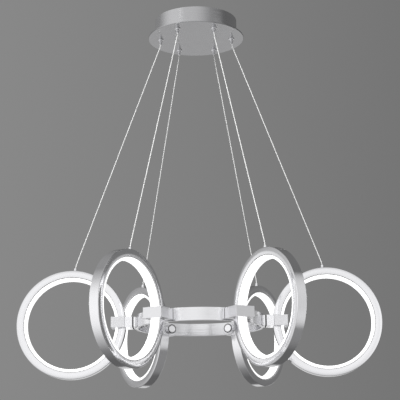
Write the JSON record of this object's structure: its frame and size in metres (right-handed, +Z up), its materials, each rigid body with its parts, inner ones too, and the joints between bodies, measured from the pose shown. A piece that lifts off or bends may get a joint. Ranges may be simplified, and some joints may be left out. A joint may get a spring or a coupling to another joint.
{
  "type": "led ceiling chandelier",
  "caption": "LED ceiling chandelier: upright light rings round a flat hub band, hung from a round canopy by taut cables.",
  "frame": {"origin": "centre of the canopy's ceiling face, on the lamp's vertical axis", "axes": "+Z up into the ceiling, +X from the lamp's axis through the first ring's centre; the rings stand at 0, 60, 120, 180, 240 and 300 degrees about +Z"},
  "size_m": [0.8, 0.703, 0.8236],
  "materials": {
    "zinc_plate": "zinc-plated sheet steel",
    "brushed_canopy": "brushed round the wall",
    "satin_disc": "fine satin",
    "screw_steel": "plain bright steel",
    "driver_plastic": "matt white case",
    "terminal_plastic": "natural nylon",
    "junction_plastic": "dark moulded plastic",
    "lead_sheath": "soft grey sheath",
    "chrome_fitting": "polished chrome",
    "brushed_band": "bright, lightly brushed along the band",
    "polished_clamp": "bright polished",
    "satin_clamp": "fine bead-blasted satin",
    "ring_metal": "silver, lightly brushed round the ring",
    "light_strip": "white flexible board with a yellowish coating",
    "opal_diffuser": "opal, evenly lit",
    "cable_sheath": "thin off-white sheath"
  },
  "bodies": {
    "root": {"mounting_plate": "zinc_plate", "canopy_shell": "brushed_canopy", "canopy_disc": "satin_disc", "canopy_set_screws": "screw_steel", "led_driver": "driver_plastic", "driver_screws": "screw_steel", "mains_terminal": "terminal_plastic", "junction_box": "junction_plastic", "driver_leads": "lead_sheath", "gripper_bodies": "chrome_fitting", "gripper_nuts": "screw_steel", "hub_ring": "brushed_band", "hub_saddles": "polished_clamp", "clamp_studs": "screw_steel", "clamp_blocks": "polished_clamp", "clamp_screws": "screw_steel", "cable_ferrules": "chrome_fitting", "led_strips": "light_strip", "ring_housing_1": "ring_metal", "ring_housing_2": "ring_metal", "ring_housing_3": "ring_metal", "ring_housing_4": "ring_metal", "ring_housing_5": "ring_metal", "ring_housing_6": "ring_metal", "ring_diffuser_1": "opal_diffuser", "ring_diffuser_2": "opal_diffuser", "ring_diffuser_3": "opal_diffuser", "ring_diffuser_4": "opal_diffuser", "ring_diffuser_5": "opal_diffuser", "ring_diffuser_6": "opal_diffuser", "clamp_cover_1": "satin_clamp", "clamp_cover_2": "satin_clamp", "clamp_cover_3": "satin_clamp", "clamp_cover_4": "satin_clamp", "clamp_cover_5": "satin_clamp", "clamp_cover_6": "satin_clamp", "gripper_spring_1": "screw_steel", "gripper_spring_2": "screw_steel", "gripper_spring_3": "screw_steel", "gripper_spring_4": "screw_steel", "gripper_spring_5": "screw_steel", "gripper_spring_6": "screw_steel", "suspension_cable_1": "cable_sheath", "suspension_cable_2": "cable_sheath", "suspension_cable_3": "cable_sheath", "suspension_cable_4": "cable_sheath", "suspension_cable_5": "cable_sheath", "suspension_cable_6": "cable_sheath"},
    "gripper_plunger_1": {"gripper_plunger_1": "chrome_fitting"},
    "knob_1": {"knob_1": "chrome_fitting"},
    "gripper_plunger_2": {"gripper_plunger_2": "chrome_fitting"},
    "knob_2": {"knob_2": "chrome_fitting"},
    "gripper_plunger_3": {"gripper_plunger_3": "chrome_fitting"},
    "knob_3": {"knob_3": "chrome_fitting"},
    "gripper_plunger_4": {"gripper_plunger_4": "chrome_fitting"},
    "knob_4": {"knob_4": "chrome_fitting"},
    "gripper_plunger_5": {"gripper_plunger_5": "chrome_fitting"},
    "knob_5": {"knob_5": "chrome_fitting"},
    "gripper_plunger_6": {"gripper_plunger_6": "chrome_fitting"},
    "knob_6": {"knob_6": "chrome_fitting"}
  },
  "joints": [
    {"name": "gripper_release_1", "type": "slide", "parent": "root", "child": "gripper_plunger_1", "axis": [0, 0, 1], "range_m": [0, 0.002], "stiffness_N_per_m": 300, "springref_m": -0.002, "deforming": ["gripper_spring_1"]},
    {"name": "knob_turn_1", "type": "hinge", "parent": "root", "child": "knob_1", "pos_m": [0.13, 0, -0.7014], "axis": [1, 0, 0], "range_deg": [0, 540]},
    {"name": "gripper_release_2", "type": "slide", "parent": "root", "child": "gripper_plunger_2", "axis": [0, 0, 1], "range_m": [0, 0.002], "stiffness_N_per_m": 300, "springref_m": -0.002, "deforming": ["gripper_spring_2"]},
    {"name": "knob_turn_2", "type": "hinge", "parent": "root", "child": "knob_2", "pos_m": [0.065, 0.11258, -0.7014], "axis": [0.5, 0.866, 0], "range_deg": [0, 540]},
    {"name": "gripper_release_3", "type": "slide", "parent": "root", "child": "gripper_plunger_3", "axis": [0, 0, 1], "range_m": [0, 0.002], "stiffness_N_per_m": 300, "springref_m": -0.002, "deforming": ["gripper_spring_3"]},
    {"name": "knob_turn_3", "type": "hinge", "parent": "root", "child": "knob_3", "pos_m": [-0.065, 0.11258, -0.7014], "axis": [-0.5, 0.866, 0], "range_deg": [0, 540]},
    {"name": "gripper_release_4", "type": "slide", "parent": "root", "child": "gripper_plunger_4", "axis": [0, 0, 1], "range_m": [0, 0.002], "stiffness_N_per_m": 300, "springref_m": -0.002, "deforming": ["gripper_spring_4"]},
    {"name": "knob_turn_4", "type": "hinge", "parent": "root", "child": "knob_4", "pos_m": [-0.13, 0, -0.7014], "axis": [-1, 0, 0], "range_deg": [0, 540]},
    {"name": "gripper_release_5", "type": "slide", "parent": "root", "child": "gripper_plunger_5", "axis": [0, 0, 1], "range_m": [0, 0.002], "stiffness_N_per_m": 300, "springref_m": -0.002, "deforming": ["gripper_spring_5"]},
    {"name": "knob_turn_5", "type": "hinge", "parent": "root", "child": "knob_5", "pos_m": [-0.065, -0.11258, -0.7014], "axis": [-0.5, -0.866, 0], "range_deg": [0, 540]},
    {"name": "gripper_release_6", "type": "slide", "parent": "root", "child": "gripper_plunger_6", "axis": [0, 0, 1], "range_m": [0, 0.002], "stiffness_N_per_m": 300, "springref_m": -0.002, "deforming": ["gripper_spring_6"]},
    {"name": "knob_turn_6", "type": "hinge", "parent": "root", "child": "knob_6", "pos_m": [0.065, -0.11258, -0.7014], "axis": [0.5, -0.866, 0], "range_deg": [0, 540]}
  ]
}
